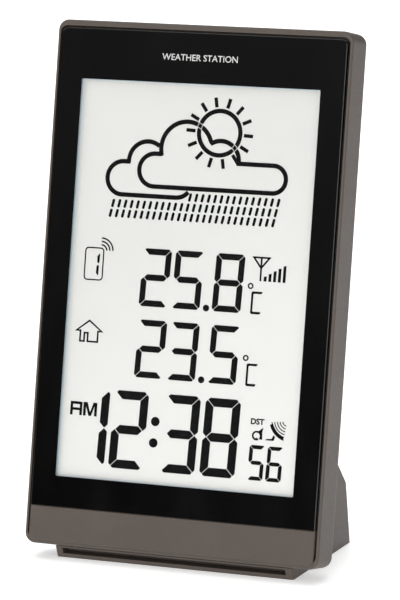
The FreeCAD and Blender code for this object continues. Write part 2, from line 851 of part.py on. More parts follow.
def lcd_holder():
    body = case_body("lcd_holder")
    margin = flange_margin - running_gap
    half = half_glass + margin
    low = glass_low - margin
    top = glass_top + margin
    add(body, "face", pad_front, holder_front, [box(-half, half, low, top)])
    over = flange_margin + holder_over
    wide = half_glass + over
    add(body, "face", holder_front, holder_back, [box(-wide, wide, glass_low - over, glass_top + over)])
    add(body, "face", holder_back, board_front,
        circles=[(x, z, boss_radius) for x, z in board_screw_spots()])
    cut(body, "face", board_front - board_post - small_screw_bite, board_front,
        circles=[(x, z, small_screw_radius + pilot_gap) for x, z in board_screw_spots()])
    cut(body, "face", holder_front, holder_back,
        circles=[(x, z, small_screw_radius + seat_gap) for x, z in holder_screw_spots()])
    zebra_low, zebra_top = zebra_rows()
    room = seat_gap * 2
    cut(body, "face", pad_front, holder_back,
        [box(-zebra_wide / 2 - room, zebra_wide / 2 + room, zebra_low - room, zebra_top + room)])


def main_board():
    body = case_body("main_board")
    add(body, "face", board_front, board_back,
        [box(-board_wide / 2, board_wide / 2, board_low, board_top)])
    cut(body, "face", board_front, board_back,
        circles=[(x, z, small_screw_radius + seat_gap) for x, z in board_screw_spots()])
    half = board_wide / 2
    fillet(body, board_round, corner_edges(*four_corners(half, board_low, board_top)))


def board_parts():
    """Components on the back of the main board."""
    body = case_body("controller_chip")
    chip_top = board_back + chip_high
    add(body, "face", board_back, chip_top, circles=[(chip_x, chip_row, chip_radius)])
    fillet(body, chip_round, lambda edge: lies_at(edge, chip_top))
    body = case_body("clock_crystal")
    depth = board_back + crystal_radius + seat_gap / 2
    add(body, "side", crystal_x, crystal_x + crystal_long, circles=[(depth, crystal_row, crystal_radius)])
    body = case_body("supply_capacitor")
    depth = board_back + capacitor_radius + seat_gap
    add(body, "side", capacitor_x, capacitor_x + capacitor_long,
        circles=[(depth, capacitor_row, capacitor_radius)])
    fillet(body, capacitor_round, lambda edge: edge.BoundBox.XLength < 1e-5)
    temperature_sensor()
    body = case_body("chip_resistors")
    starts = [resistor_x + resistor_pitch * place for place in range(5)]
    add(body, "face", board_back, board_back + resistor_high,
        [box(x, x + resistor_wide, resistor_row, resistor_row + resistor_long) for x in starts])


def temperature_sensor():
    """Thermistor on two legs, beside the vents in the cover."""
    body = case_body("temperature_sensor")
    centre = vent_x - sensor_leg
    half = sensor_leg / 2
    legs = [centre + side * sensor_pitch / 2 for side in (-1, 1)]
    bulb = board_back + sensor_lift
    add(body, "face", board_back, bulb,
        [box(x - half, x + half, vent_row - half, vent_row + half) for x in legs])
    add(body, "face", bulb, bulb + sensor_high, circles=[(centre, vent_row, sensor_radius)])
    fillet(body, sensor_round, lambda edge: lies_at(edge, bulb + sensor_high))


def switches():
    body = case_body("switch_bases")
    half = switch_side / 2
    add(body, "face", board_back, switch_top,
        [box(x - half, x + half, key_row - half, key_row + half) for x, _ in key_spots()])
    cut(body, "face", switch_top - stem_well, switch_top,
        circles=[(x, key_row, stem_radius + running_gap / 2) for x, _ in key_spots()])
    for x, name in key_spots():
        stem = case_body(f"stem_{name}")
        add(stem, "face", stem_bottom, foot_front, circles=[(x, key_row, stem_radius)])


def keys():
    for x, name in key_spots():
        body = case_body(f"key_{name}")
        half = key_wide / 2
        rise = key_high / 2
        add(body, "face", foot_front, foot_back, [
            box(x - half - key_flange, x + half + key_flange,
                key_row - rise - key_flange, key_row + rise + key_flange)])
        add(body, "face", foot_back, case_deep + key_proud,
            [box(x - half, x + half, key_row - rise, key_row + rise)])
        corners = [(x + side * half, key_row + end * rise) for side in (-1, 1) for end in (-1, 1)]
        fillet(body, key_round, corner_edges(*corners))
        fillet(body, key_round / 5, lambda edge: lies_at(edge, case_deep + key_proud))


def aerial():
    depth = holder_back + seat_gap * 2 + coil_radius
    body = case_body("ferrite_rod")
    add_across(body, rod_long / 2, circles=[(depth, rod_row, rod_radius)])
    body = case_body("aerial_coil")
    room = rod_radius + seat_gap
    add_across(body, coil_long / 2, circles=[(depth, rod_row, coil_radius), (depth, rod_row, room)])
    body = case_body("rod_clips")
    gap = rod_radius + seat_gap
    for side in (-1, 1):
        start = side * (rod_long / 2 - clip_long) - clip_long / 2
        add(body, "side", start, start + clip_long,
            [box(holder_back, depth + rod_radius * 0.6, rod_row - clip_half, rod_row + clip_half)])
        cut(body, "side", start, start + clip_long, circles=[(depth, rod_row, gap)])


def buzzer():
    body = case_body("buzzer_plate")
    add(body, "face", cover_inside - buzzer_thick, cover_inside,
        circles=[(buzzer_x, buzzer_row, buzzer_radius)])
    cut(body, "face", cover_inside - buzzer_thick, cover_inside,
        circles=[(buzzer_x, buzzer_row, sound_ring + sound_radius)])
    body = case_body("buzzer_element")
    back = cover_inside - buzzer_thick
    add(body, "face", back - buzzer_thick, back, circles=[(buzzer_x, buzzer_row, element_radius)])


def radio_board():
    body = case_body("receiver_board")
    half = radio_wide / 2
    rise = radio_high / 2
    front = board_back + pin_high
    add(body, "face", front, front + radio_thick,
        [box(radio_x - half, radio_x + half, radio_row - rise, radio_row + rise)])
    body = case_body("receiver_pins")
    centres = [radio_x - half + pin_start + pin_pitch * place for place in range(5)]
    low = radio_row - rise + pin_edge
    add(body, "face", board_back, front,
        [box(x - pin_side / 2, x + pin_side / 2, low, low + pin_side) for x in centres])
    body = case_body("receiver_chip")
    top = front + radio_thick
    side = radio_chip_side / 2
    add(body, "face", top, top + radio_chip_high,
        [box(radio_x - side, radio_x + side, radio_row - pin_start / 2, radio_row + rise - pin_start)])


def screw_set(label, seat, tip, spots, shank, head, thick):
    """Screws that point forward: the head bears on the seat and the shank ends at the tip."""
    body = case_body(label)
    add(body, "face", tip, seat, circles=[(x, z, shank) for x, z in spots])
    add(body, "face", seat, seat + thick, circles=[(x, z, head) for x, z in spots])
    fillet(body, thick / 4, lambda edge: lies_at(edge, seat + thick))
    for long_way in (True, False):
        arm = head * driver_reach
        half = driver_slot / 2
        bars = [box(x - arm, x + arm, z - half, z + half) if long_way
                else box(x - half, x + half, z - arm, z + arm) for x, z in spots]
        cut(body, "face", seat + thick * (1 - driver_deep), seat + thick, bars)


def screws():
    screw_set("case_screws", screw_seat(), flange_back + seat_gap * 5, case_screw_spots(),
              screw_radius, screw_head, screw_head_thick)
    screw_set("frame_screws", flange_back, frame_back - small_screw_bite + seat_gap,
              [(x, z) for x in mirrored(hook_x) for z in frame_screw_rows()],
              small_screw_radius, small_screw_head, small_screw_thick)
    screw_set("holder_screws", holder_back, flange_front + seat_gap, holder_screw_spots(),
              small_screw_radius, small_screw_radius * 1.6, small_screw_thick)
    screw_set("board_screws", board_back, board_front - board_post - small_screw_bite + seat_gap,
              board_screw_spots(), small_screw_radius, small_screw_head, small_screw_thick)


def block_foot():
    """Front of the block where its plane meets the table."""
    return face_y(stand_front_w, as_size(0)) - face_z(stand_front_w, as_size(0)) * tangent(lean)


def stand_shell():
    body = stand_body("stand_shell")
    half_deep = stand_deep / 2
    foot_y = block_foot()
    knee_y = half_deep - knee_high * tangent(back_rake)
    block = [(foot_y, as_size(0)), (half_deep, as_size(0)), (knee_y, knee_high),
             (face_y(stand_front_w, stand_high), face_z(stand_front_w, stand_high))]
    add_across(body, stand_half, [block])
    solid = body.Tip
    floor = [f"Face{i}" for i, face in enumerate(solid.Shape.Faces, 1) if near(face.BoundBox.ZMax, 0)]
    hollow = body.newObject("PartDesign::Thickness", "stand_shell_hollow")
    hollow.Base = (solid, floor)
    hollow.setExpression("Value", stand_wall.formula)
    hollow.Reversed = True
    hollow.Mode = "Skin"
    hollow.Join = "Intersection"
    body.Tip = hollow
    doc.recompute()
    require_good(hollow)
    if hollow.Shape.Volume > solid.Shape.Volume / 2:
        raise RuntimeError("the stand did not become hollow")
    fillet(body, knee_round, lambda edge: runs_along(edge, "x") and near(edge.CenterOfMass.z, knee_high))
    fillet(body, stand_corner, lambda edge: near(max(-edge.BoundBox.XMin, edge.BoundBox.XMax), stand_half)
           and edge.BoundBox.ZMax > 1 and edge.BoundBox.XLength < 1e-5
           and edge.CenterOfMass.y > (foot_y + corner_from).number)
    seat = [(-half_deep, as_size(0)), (foot_y + stand_wall, as_size(0)),
            (face_y(stand_front_w + stand_wall, seat_v), face_z(stand_front_w + stand_wall, seat_v)),
            (face_y(bar_setback, seat_v), face_z(bar_setback, seat_v))]
    add_across(body, stand_half, [seat])
    fillet(body, bar_corner, lambda edge: edge.BoundBox.XLength < 1e-5
           and edge.CenterOfMass.y < -half_deep.number and near(edge.BoundBox.ZMin, 0))
    slot_back = -half_deep + bar_slot_deep
    cut_across(body, stand_half - bar_slot_end, [[
        (-half_deep - bar_setback, bar_slot_low), (slot_back, bar_slot_low),
        (slot_back, bar_slot_top), (-half_deep - bar_setback, bar_slot_top)]])
    return body


def stand_posts(body):
    spots = foot_screw_spots()
    add(body, "floor", foot_thick, foot_post_high, circles=[(x, y, foot_post) for x, y in spots])
    wall = stand_half - stand_wall / 2
    for side in (-1, 1):
        left, right = (foot_screw_x, wall) if side > 0 else (-wall, -foot_screw_x)
        add(body, "floor", foot_thick, foot_post_high, [
            box(left, right, y - foot_rib / 2, y + foot_rib / 2)
            for y in (foot_screw_mid - foot_screw_y, foot_screw_mid + foot_screw_y)])
    cut(body, "floor", foot_thick, foot_post_high - foot_hole_end,
        circles=[(x, y, screw_radius + pilot_gap) for x, y in spots])


def foot_screw_spots():
    return [(x, foot_screw_mid + side * foot_screw_y)
            for x in mirrored(foot_screw_x) for side in (-1, 1)]


def stand_hooks(body):
    head_back = cover_inside - running_gap
    for x in mirrored(hook_x):
        neck = hook_neck / 2
        head = hook_head / 2
        add(body, "face", head_back, stand_front_w + seat_gap,
            [box(x - neck, x + neck, hook_low, hook_top)], leaned=True)
        add(body, "face", head_back - hook_head_thick, head_back,
            [box(x - head, x + head, hook_low, hook_top)], leaned=True)


def stand_plate():
    body = stand_body("stand_plate")
    room = stand_wall + seat_gap * 2
    half = stand_half - room
    front = block_foot() + room + plate_front
    back = stand_deep / 2 - room - plate_back
    add(body, "floor", 0, foot_thick, [box(-half, half, front, back)])
    cut(body, "floor", 0, foot_thick,
        circles=[(x, y, screw_radius + seat_gap * 2) for x, y in foot_screw_spots()])
    cut(body, "floor", 0, foot_seat,
        circles=[(x, y, screw_head + seat_gap) for x, y in foot_screw_spots()])


def stand_screws():
    body = stand_body("stand_screws")
    seat = foot_seat
    spots = foot_screw_spots()
    add(body, "floor", seat, foot_post_high - foot_screw_end,
        circles=[(x, y, screw_radius) for x, y in spots])
    add(body, "floor", seat_gap, seat, circles=[(x, y, screw_head) for x, y in spots])
    half = driver_slot / 2
    arm = screw_head * driver_reach
    cut(body, "floor", seat_gap, seat * driver_deep,
        [box(x - arm, x + arm, y - half, y + half) for x, y in spots])


def battery_springs():
    """Bent leaf springs behind the flat ends of the cells."""
    body = case_body("battery_springs")
    for row, side in ((1, 1), (-1, -1)):
        plate = side * (contact_thick - well_half)
        tip = plate + side * spring_long
        flat = leaf_thick / 2
        leaf = [(plate, cell_depth - leaf_reach), (tip, cell_depth - flat), (tip, cell_depth + flat),
                (plate + side * leaf_thick * 2, cell_depth + leaf_reach),
                (plate + side * leaf_thick * 1.5, cell_depth + leaf_reach - leaf_thick),
                (tip - side * leaf_thick, cell_depth),
                (plate, cell_depth - leaf_reach + leaf_thick)]
        z = well_centre + row * cell_pitch / 2
        add(body, "floor", z - leaf_wide / 2, z + leaf_wide / 2, [leaf])


BEND_SHARE = 0.45    # of a lead's straight run, given to each bend at its ends


def lead_set(label, radius, routes):
    """Insulated leads: straight runs joined by tangent arcs, each a closed tube."""
    tubes = []
    for route in routes:
        points = [FreeCAD.Vector(*point) for point in route]
        edges = []
        start = points[0]
        for i in range(1, len(points) - 1):
            into = (points[i] - points[i - 1]).normalize()
            out = (points[i + 1] - points[i]).normalize()
            shorter = min((points[i] - points[i - 1]).Length, (points[i + 1] - points[i]).Length)
            reach = BEND_SHARE * shorter
            first = points[i] - into * reach
            last = points[i] + out * reach
            half_turn = into.getAngle(out) / 2
            bend = reach / math.tan(half_turn)
            centre_way = (out - into).normalize()
            centre = points[i] + centre_way * (reach / math.sin(half_turn))
            middle = centre - centre_way * bend
            edges.append(Part.LineSegment(start, first).toShape())
            edges.append(Part.Arc(first, middle, last).toShape())
            start = last
        edges.append(Part.LineSegment(start, points[-1]).toShape())
        path = Part.Wire(edges)
        section = Part.Wire(Part.makeCircle(radius, points[0], points[1] - points[0]))
        tubes.append(path.makePipeShell([section], True, True))
    leads = doc.addObject("Part::Feature", label)
    leads.Label = label
    leads.Shape = Part.makeCompound(tubes)
    case_nodes.append(leads)


def leads():
    board = board_back.number
    well = well_outer.number
    wall_top = well_top.number + well_wall.number
    middle = well_centre.number
    battery = []
    for side in (-1, 1):
        battery.append([
            (side * well, board + 1.5, middle + 4 * side),
            (side * (well + 2.4), board + 1.5, middle + 4 * side),
            (side * (well + 2.8), board + 2.0, wall_top + 2.0),
            (side * (well + 1.0), board + 3.0, wall_top + 8.0),
            (side * (well + 1.0), board + 2.4, wall_top + 11.0),
            (side * (well + 1.0), board, wall_top + 11.0),
        ])
    lead_set("battery_leads", 0.6, battery)
    x = buzzer_x.number
    row = buzzer_row.number
    back = cover_inside.number - 2 * buzzer_thick.number
    buzzer_routes = []
    for shift in (-1.5, 1.5):
        buzzer_routes.append([
            (x + shift, back, row - 3.0), (x + shift, back - 1.4, row - 3.0),
            (x + shift - 3.0, back - 2.0, row - 6.5), (x + shift - 3.0, board, row - 6.5)])
    lead_set("buzzer_leads", 0.45, buzzer_routes)
    depth = (holder_back + seat_gap * 2 + coil_radius).number
    start_x = coil_long.number / 2
    aerial_routes = []
    for shift in (0.0, 1.4):
        coil_top = rod_row.number + coil_radius.number
        aerial_routes.append([
            (start_x - 1.5 - 2.0 * shift, depth, coil_top + 0.35),
            (start_x + 6.0 + shift, depth, coil_top + 0.9),
            (well + 7.0 + shift, depth - 1.0, well_low.number),
            (well + 7.0 + shift, depth, wall_top + 3.0),
            (well + 3.0, depth + 0.5, wall_top + 12.0 + 1.4 * shift),
            (well + 3.0, board, wall_top + 12.0 + 1.4 * shift)])
    lead_set("aerial_leads", 0.35, aerial_routes)


front_lens()
lens_tape()
front_frame()
case_shell()
rear_cover()
battery_door()
battery_cells()
plate_contacts()
battery_springs()
display_stack()
zebra_strip()
lcd_holder()
main_board()
board_parts()
switches()
keys()
aerial()
buzzer()
radio_board()
screws()
leads()
shell = stand_shell()
stand_posts(shell)
stand_hooks(shell)
stand_plate()
stand_screws()

tilt = FreeCAD.Rotation(FreeCAD.Vector(-1, 0, 0), lean.number)
origin_y = face_y(as_size(0), as_size(0))
for node in case_nodes:
    node.Placement = FreeCAD.Placement(FreeCAD.Vector(0, origin_y.number, panel_lift.number), tilt)
    node.setExpression("Placement.Rotation.Angle", lean.formula)
    node.setExpression("Placement.Base.y", origin_y.formula)
    node.setExpression("Placement.Base.z", panel_lift.formula)
doc.recompute()

for item in doc.Objects:
    if "Invalid" in item.State or "Error" in item.State:
        raise RuntimeError(f"{item.Label} is in state {item.State}")
os.makedirs("parts", exist_ok=True)
for node in case_nodes + stand_nodes:
    if node.Shape.isNull() or not node.Shape.isValid():
        raise RuntimeError(f"{node.Label} has no valid shape")
    node.Shape.exportStep(f"parts/{node.Label}.step")
print(len(case_nodes + stand_nodes), "parts written")
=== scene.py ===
"""Looks of the home weather station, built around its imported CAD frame."""

import json
import math

import bmesh
import bpy
from mathutils import Matrix, Vector

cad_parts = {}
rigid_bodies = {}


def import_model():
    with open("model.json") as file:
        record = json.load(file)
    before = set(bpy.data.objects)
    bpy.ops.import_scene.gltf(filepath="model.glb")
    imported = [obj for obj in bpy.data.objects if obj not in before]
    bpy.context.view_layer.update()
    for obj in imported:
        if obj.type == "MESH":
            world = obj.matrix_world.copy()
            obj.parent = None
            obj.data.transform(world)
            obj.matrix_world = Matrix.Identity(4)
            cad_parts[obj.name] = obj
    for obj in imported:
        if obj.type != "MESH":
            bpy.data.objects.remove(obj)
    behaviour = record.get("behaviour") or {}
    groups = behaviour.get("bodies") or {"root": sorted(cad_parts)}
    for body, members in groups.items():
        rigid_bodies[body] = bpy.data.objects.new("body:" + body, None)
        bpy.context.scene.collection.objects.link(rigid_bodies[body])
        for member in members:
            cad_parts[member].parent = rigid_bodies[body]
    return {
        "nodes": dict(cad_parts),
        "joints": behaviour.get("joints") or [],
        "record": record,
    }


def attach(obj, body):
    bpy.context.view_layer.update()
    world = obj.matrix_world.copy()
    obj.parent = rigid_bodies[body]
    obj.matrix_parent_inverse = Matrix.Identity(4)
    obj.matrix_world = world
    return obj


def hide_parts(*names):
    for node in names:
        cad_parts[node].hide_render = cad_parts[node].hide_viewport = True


for old in list(bpy.data.objects):
    bpy.data.objects.remove(old)

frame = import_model()
nodes = frame["nodes"]
record = frame["record"]
bpy.context.view_layer.update()

MM = 0.001
scene = bpy.context.scene

# ------------------------------------------------------------------ camera
CAMERA_AT = Vector((0.388729, -0.972431, 0.264310))
BEARING = math.radians(21.87)
DIP = math.radians(10.39)
LENS_MM = 226.37

camera_data = bpy.data.cameras.new("camera")
camera_data.lens = LENS_MM
camera_data.sensor_width = 36
camera = bpy.data.objects.new("camera", camera_data)
scene.collection.objects.link(camera)
camera.location = CAMERA_AT
looking = Vector((
    -math.sin(BEARING) * math.cos(DIP),
    math.cos(BEARING) * math.cos(DIP),
    -math.sin(DIP),
))
camera.rotation_mode = "QUATERNION"
camera.rotation_quaternion = looking.to_track_quat("-Z", "Y")
scene.camera = camera
scene.view_settings.view_transform = "Standard"

# ------------------------------------------------------- the face's own axes
# x runs across, w into the case from the front of the panel, v up the panel; all in mm.
KEYHOLE_W = 14.0
KEYHOLE_V = 138.5
keyhole = next(m for m in record["mounts"] if m["name"] == "wall_keyhole")
door_slide = next(j for j in frame["joints"] if j["name"] == "door_slide")
ACROSS = Vector((1, 0, 0))
INTO = Vector(keyhole["axis"]).normalized()
UP = Vector(door_slide["axis"]).normalized()
ORIGIN = Vector(keyhole["pos_m"]) - INTO * KEYHOLE_W * MM - UP * KEYHOLE_V * MM


def at(x, w, v):
    return ORIGIN + (ACROSS * x + INTO * w + UP * v) * MM


def face_box(node):
    """Lowest and highest (x, w, v) of a CAD node, in mm."""
    spots = [(p.co - ORIGIN) / MM for p in nodes[node].data.vertices]
    axes = (ACROSS, INTO, UP)
    low = [min(s.dot(a) for s in spots) for a in axes]
    high = [max(s.dot(a) for s in spots) for a in axes]
    return low, high


# --------------------------------------------------------------- materials
def tone(red, green, blue):
    """Linear colour of an sRGB triple from 0 to 255."""
    def linear(c):
        c = c / 255
        return c / 12.92 if c <= 0.04045 else ((c + 0.055) / 1.055) ** 2.4
    return (linear(red), linear(green), linear(blue), 1.0)


def scaled(colour, by):
    return tuple(min(1.0, c * by) for c in colour[:3]) + (1.0,)


class Finish:
    """A node material built round one Principled shader."""

    def __init__(self, name, **fixed):
        self.material = bpy.data.materials.new(name)
        self.material.use_nodes = True
        self.tree = self.material.node_tree
        self.shader = self.tree.nodes["Principled BSDF"]
        for socket, value in fixed.items():
            self.shader.inputs[socket.replace("_", " ")].default_value = value
        self.place = self.tree.nodes.new("ShaderNodeTexCoord").outputs["Object"]

    def node(self, kind, **settings):
        made = self.tree.nodes.new(kind)
        for key, value in settings.items():
            setattr(made, key, value)
        return made

    def link(self, a, b):
        self.tree.links.new(a, b)

    def set(self, socket, output):
        self.link(output, self.shader.inputs[socket])

    def noise(self, size_mm, detail=3.0, where=None):
        made = self.node("ShaderNodeTexNoise")
        made.inputs["Scale"].default_value = 1 / (size_mm * MM)
        made.inputs["Detail"].default_value = detail
        self.link(where or self.place, made.inputs["Vector"])
        return made.outputs["Fac"]

    def cells(self, size_mm):
        made = self.node("ShaderNodeTexVoronoi")
        made.inputs["Scale"].default_value = 1 / (size_mm * MM)
        self.link(self.place, made.inputs["Vector"])
        return made.outputs["Distance"]

    def stretched(self, x, y, z):
        made = self.node("ShaderNodeVectorMath", operation="MULTIPLY")
        self.link(self.place, made.inputs[0])
        made.inputs[1].default_value = (x, y, z)
        return made.outputs[0]

    def along(self, direction, start=0.0):
        """How far a point lies along a direction, in mm."""
        dot = self.node("ShaderNodeVectorMath", operation="DOT_PRODUCT")
        self.link(self.place, dot.inputs[0])
        dot.inputs[1].default_value = Vector(direction) / MM
        return self.maths("SUBTRACT", dot.outputs["Value"], start)

    def maths(self, operation, a, b=0.0):
        made = self.node("ShaderNodeMath", operation=operation)
        for socket, value in zip(made.inputs, (a, b)):
            if isinstance(value, (int, float)):
                socket.default_value = value
            else:
                self.link(value, socket)
        return made.outputs[0]

    def ranged(self, value, low, high, to_low=0.0, to_high=1.0):
        made = self.node("ShaderNodeMapRange")
        self.link(value, made.inputs["Value"])
        for socket, number in (
            ("From Min", low), ("From Max", high), ("To Min", to_low), ("To Max", to_high),
        ):
            made.inputs[socket].default_value = number
        return made.outputs["Result"]

    def mixed(self, factor, a, b):
        made = self.node("ShaderNodeMix", data_type="RGBA")
        self.link(factor, made.inputs["Factor"])
        for socket, value in ((made.inputs[6], a), (made.inputs[7], b)):
            if isinstance(value, tuple):
                socket.default_value = value
            else:
                self.link(value, socket)
        return made.outputs[2]

    def bump(self, height, depth_mm, strength=1.0):
        made = self.node("ShaderNodeBump")
        made.inputs["Strength"].default_value = strength
        made.inputs["Distance"].default_value = depth_mm * MM
        self.link(height, made.inputs["Height"])
        last = self.shader.inputs["Normal"]
        if last.is_linked:
            self.link(last.links[0].from_socket, made.inputs["Normal"])
        self.link(made.outputs["Normal"], last)


def moulded(name, colour, rough, grain=0.5, depth=0.02, spread=0.05, speckle=0.08, **fixed):
    """Plastic with a fine moulded grain, slightly uneven in tone and gloss."""
    f = Finish(name, **fixed)
    cloud = f.ranged(f.noise(14, 4), 0.3, 0.7)
    pits = f.ranged(f.noise(grain, 2), 0.3, 0.7)
    base = f.mixed(cloud, scaled(colour, 1 - spread), scaled(colour, 1 + spread))
    low = f.mixed(cloud, scaled(colour, (1 - spread) * (1 - speckle)),
                  scaled(colour, (1 + spread) * (1 - speckle)))
    f.set("Base Color", f.mixed(pits, low, base))
    f.set("Roughness", f.ranged(pits, 0, 1, rough - 0.07, rough + 0.07))
    f.bump(pits, depth)
    return f.material


def metal(name, colour, rough, brush=(1, 1, 1), grain=0.4, depth=0.004, spread=0.12):
    """Metal with drawn or rolled marks."""
    f = Finish(name, Metallic=1.0)
    marks = f.noise(grain, 3, f.stretched(*brush))
    f.set("Base Color", f.mixed(marks, scaled(colour, 1 - spread), scaled(colour, 1 + spread)))
    f.set("Roughness", f.ranged(marks, 0.3, 0.7, rough - 0.06, rough + 0.08))
    f.bump(marks, depth)
    return f.material


def gloss_black():
    """Black print behind a polished face, with faint wiping marks in the gloss."""
    f = Finish("gloss_black", IOR=1.49)
    haze = f.ranged(f.noise(38, 3), 0.35, 0.7)
    f.set("Base Color", f.mixed(haze, tone(6, 6, 6), tone(9, 9, 9)))
    wipes = f.ranged(f.noise(9, 5, f.stretched(1, 1, 0.25)), 0.3, 0.75)
    f.set("Roughness", f.ranged(wipes, 0, 1, 0.07, 0.16))
    f.bump(f.noise(22, 1), 0.02, 0.4)
    return f.material


def clear_pane():
    """The clear window: thin, polished, with a trace of haze."""
    f = Finish("clear_pane", Alpha=0.05, IOR=1.49)
    haze = f.ranged(f.noise(25, 2), 0.3, 0.7)
    f.set("Base Color", f.mixed(haze, tone(30, 32, 32), tone(38, 40, 40)))
    f.set("Roughness", f.ranged(haze, 0, 1, 0.03, 0.07))
    return f.material


DISPLAY_RIM = (0.6, -0.2)          # mm in from the window's edge
PAINTED_LIGHT_SPAN = (-20, 62)           # painted light: mm from the middle, towards the lower right, over which the display is lightened


def display_face():
    """Pale reflective display: painted light makes it lighter to the lower right; a little bluer
    along its rim.
    """
    f = Finish("display_face", Roughness=0.42)
    middle_v = (WINDOW_LOW + WINDOW_TOP) / 2
    half_v = (WINDOW_TOP - WINDOW_LOW) / 2
    start = ORIGIN.dot(UP) / MM + middle_v
    from_side = f.maths("SUBTRACT", HALF_WINDOW, f.maths("ABSOLUTE", f.along(ACROSS)))
    from_end = f.maths("SUBTRACT", half_v, f.maths("ABSOLUTE", f.along(UP, start)))
    rim = f.ranged(f.maths("MINIMUM", from_side, from_end), *DISPLAY_RIM)
    even = f.ranged(f.noise(30, 2), 0.3, 0.7)
    fine = f.ranged(f.noise(0.3, 1), 0.3, 0.7)
    # painted light: a tone ramp lightens the display towards the lower right to offset the shade
    # there
    across_down = ACROSS * 0.5 - UP * 0.87
    middle = at(0, 0, middle_v).dot(across_down) / MM
    painted_light_ramp = f.ranged(f.along(across_down, middle), *PAINTED_LIGHT_SPAN)
    sheet = f.mixed(even, tone(222, 222, 217), tone(225, 225, 220))
    painted_light_sheet = f.mixed(painted_light_ramp, sheet, tone(240, 240, 235))
    # painted light: the fine grain mixes with a second ramp that lightens towards the lower right
    grained = f.mixed(fine, painted_light_sheet, f.mixed(painted_light_ramp, tone(225, 225, 222), tone(241, 241, 238)))
    f.set("Base Color", f.mixed(rim, grained, tone(214, 232, 240)))
    f.bump(fine, 0.003, 0.5)
    return f.material


def display_ink():
    """A switched-on display segment: dense black with a very slight green-violet drift."""
    f = Finish("display_ink", Roughness=0.6, Specular_IOR_Level=0.1)
    drift = f.ranged(f.noise(6, 2), 0.3, 0.7)
    f.set("Base Color", f.mixed(drift, tone(3, 3, 4), tone(7, 7, 6)))
    f.bump(f.noise(0.2, 1), 0.002, 0.4)
    return f.material


def circuit_green():
    """Solder mask over etched tracks."""
    f = Finish("circuit_green", Roughness=0.35, Coat_Weight=0.3)
    tracks = f.ranged(f.cells(2.2), 0.42, 0.46)
    mask = f.mixed(tracks, tone(22, 84, 48), tone(40, 112, 66))
    fine = f.ranged(f.noise(0.25, 1), 0.4, 0.6)
    f.set("Base Color", f.mixed(fine, mask, tone(28, 92, 54)))
    f.bump(tracks, 0.03)
    return f.material


def cell_jacket():
    """Plain printed battery jacket: dark sleeve with a pale band at one end."""
    f = Finish("cell_jacket", Roughness=0.3, Metallic=0.3)
    ends = f.ranged(f.along(ACROSS), 12.0, 12.2)
    worn = f.ranged(f.noise(1.2, 5), 0.62, 0.7)
    sleeve = f.mixed(ends, tone(38, 46, 60), tone(176, 170, 150))
    f.set("Base Color", f.mixed(worn, sleeve, tone(120, 122, 124)))
    f.bump(f.noise(0.8, 2), 0.01)
    return f.material


def glass(name, colour):
    f = Finish(name, Roughness=0.06, IOR=1.5)
    drift = f.ranged(f.noise(20, 2), 0.3, 0.7)
    f.set("Base Color", f.mixed(drift, scaled(colour, 0.93), colour))
    f.bump(f.noise(30, 1), 0.01, 0.2)
    return f.material


def print_light():
    """Light pad print."""
    f = Finish("print_light", Roughness=0.55)
    thin = f.ranged(f.noise(0.35, 3), 0.35, 0.7)
    f.set("Base Color", f.mixed(thin, tone(176, 176, 174), tone(214, 214, 212)))
    f.bump(thin, 0.004)
    return f.material


CASE_GREY = tone(83, 75, 69)
low, high = face_box("front_lens")
LENS_LOW, LENS_TOP = low[2], high[2]
HALF_PANEL = high[0]
LENS_BACK = high[1]
low, high = face_box("front_polariser")
EDGE_OVER = 1.0
HALF_WINDOW = high[0] - EDGE_OVER
WINDOW_LOW = low[2] + EDGE_OVER
WINDOW_TOP = high[2] - EDGE_OVER
POLARISER_BACK = high[1]

grey_plastic = moulded("grey_plastic", CASE_GREY, 0.5, Specular_IOR_Level=0.3)
key_plastic = moulded("key_plastic", tone(96, 90, 86), 0.55, grain=0.35)
by_slot = {
    "black_gloss": gloss_black(),
    "tape_black": moulded("tape_black", tone(26, 26, 26), 0.8, grain=0.25),
    "grey_shell": grey_plastic,
    "key_grey": key_plastic,
    "cell_jacket": cell_jacket(),
    "spring_steel": metal("spring_steel", tone(190, 188, 182), 0.28, (1, 1, 6)),
    "polariser": display_face(),
    "display_glass": glass("display_glass", tone(196, 208, 204)),
    "display_back": metal("display_back", tone(214, 214, 210), 0.45, grain=0.6),
    "zebra_rubber": moulded("zebra_rubber", tone(70, 66, 62), 0.75, grain=0.2),
    "white_plastic": moulded("white_plastic", tone(222, 220, 214), 0.5),
    "circuit_board": circuit_green(),
    "epoxy_black": moulded("epoxy_black", tone(30, 30, 32), 0.55, grain=0.2),
    "capacitor_sleeve": moulded("capacitor_sleeve", tone(34, 40, 66), 0.35, grain=0.8),
    "ferrite": moulded("ferrite", tone(52, 50, 50), 0.7, grain=0.15, depth=0.04),
    "copper": metal("copper", tone(196, 120, 78), 0.3, (12, 1, 1), grain=1.2),
    "brass": metal("brass", tone(204, 172, 104), 0.32, (1, 4, 1)),
    "ceramic": moulded("ceramic", tone(206, 200, 186), 0.4, grain=0.15),
    "screw_steel": metal("screw_steel", tone(150, 150, 150), 0.34, (1, 5, 1), grain=0.3),
    "lead_sleeve": moulded("lead_sleeve", tone(150, 36, 34), 0.45, grain=0.3),
}
ink = display_ink()
pane_clear = clear_pane()
pale_print = print_light()

slot_of = {part["node"]: part["material_slot"] for part in record["subparts"]}
for name, thing in nodes.items():
    for held in thing.material_slots:
        held.material = by_slot[slot_of[name]]


# ------------------------------------------------------------ mesh helpers
def add_piece(name, mesh, material):
    """Put a finished mesh in the scene as a piece of the case."""
    mesh.materials.append(material)
    thing = bpy.data.objects.new(name, mesh)
    scene.collection.objects.link(thing)
    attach(thing, "case")
    return thing


def add_mesh(name, verts, faces, material):
    """A mesh with outward faces that moves with the case."""
    mesh = bpy.data.meshes.new(name)
    mesh.from_pydata([tuple(v) for v in verts], [], faces)
    made = bmesh.new()
    made.from_mesh(mesh)
    bmesh.ops.recalc_face_normals(made, faces=made.faces)
    made.to_mesh(mesh)
    made.free()
    return add_piece(name, mesh, material)


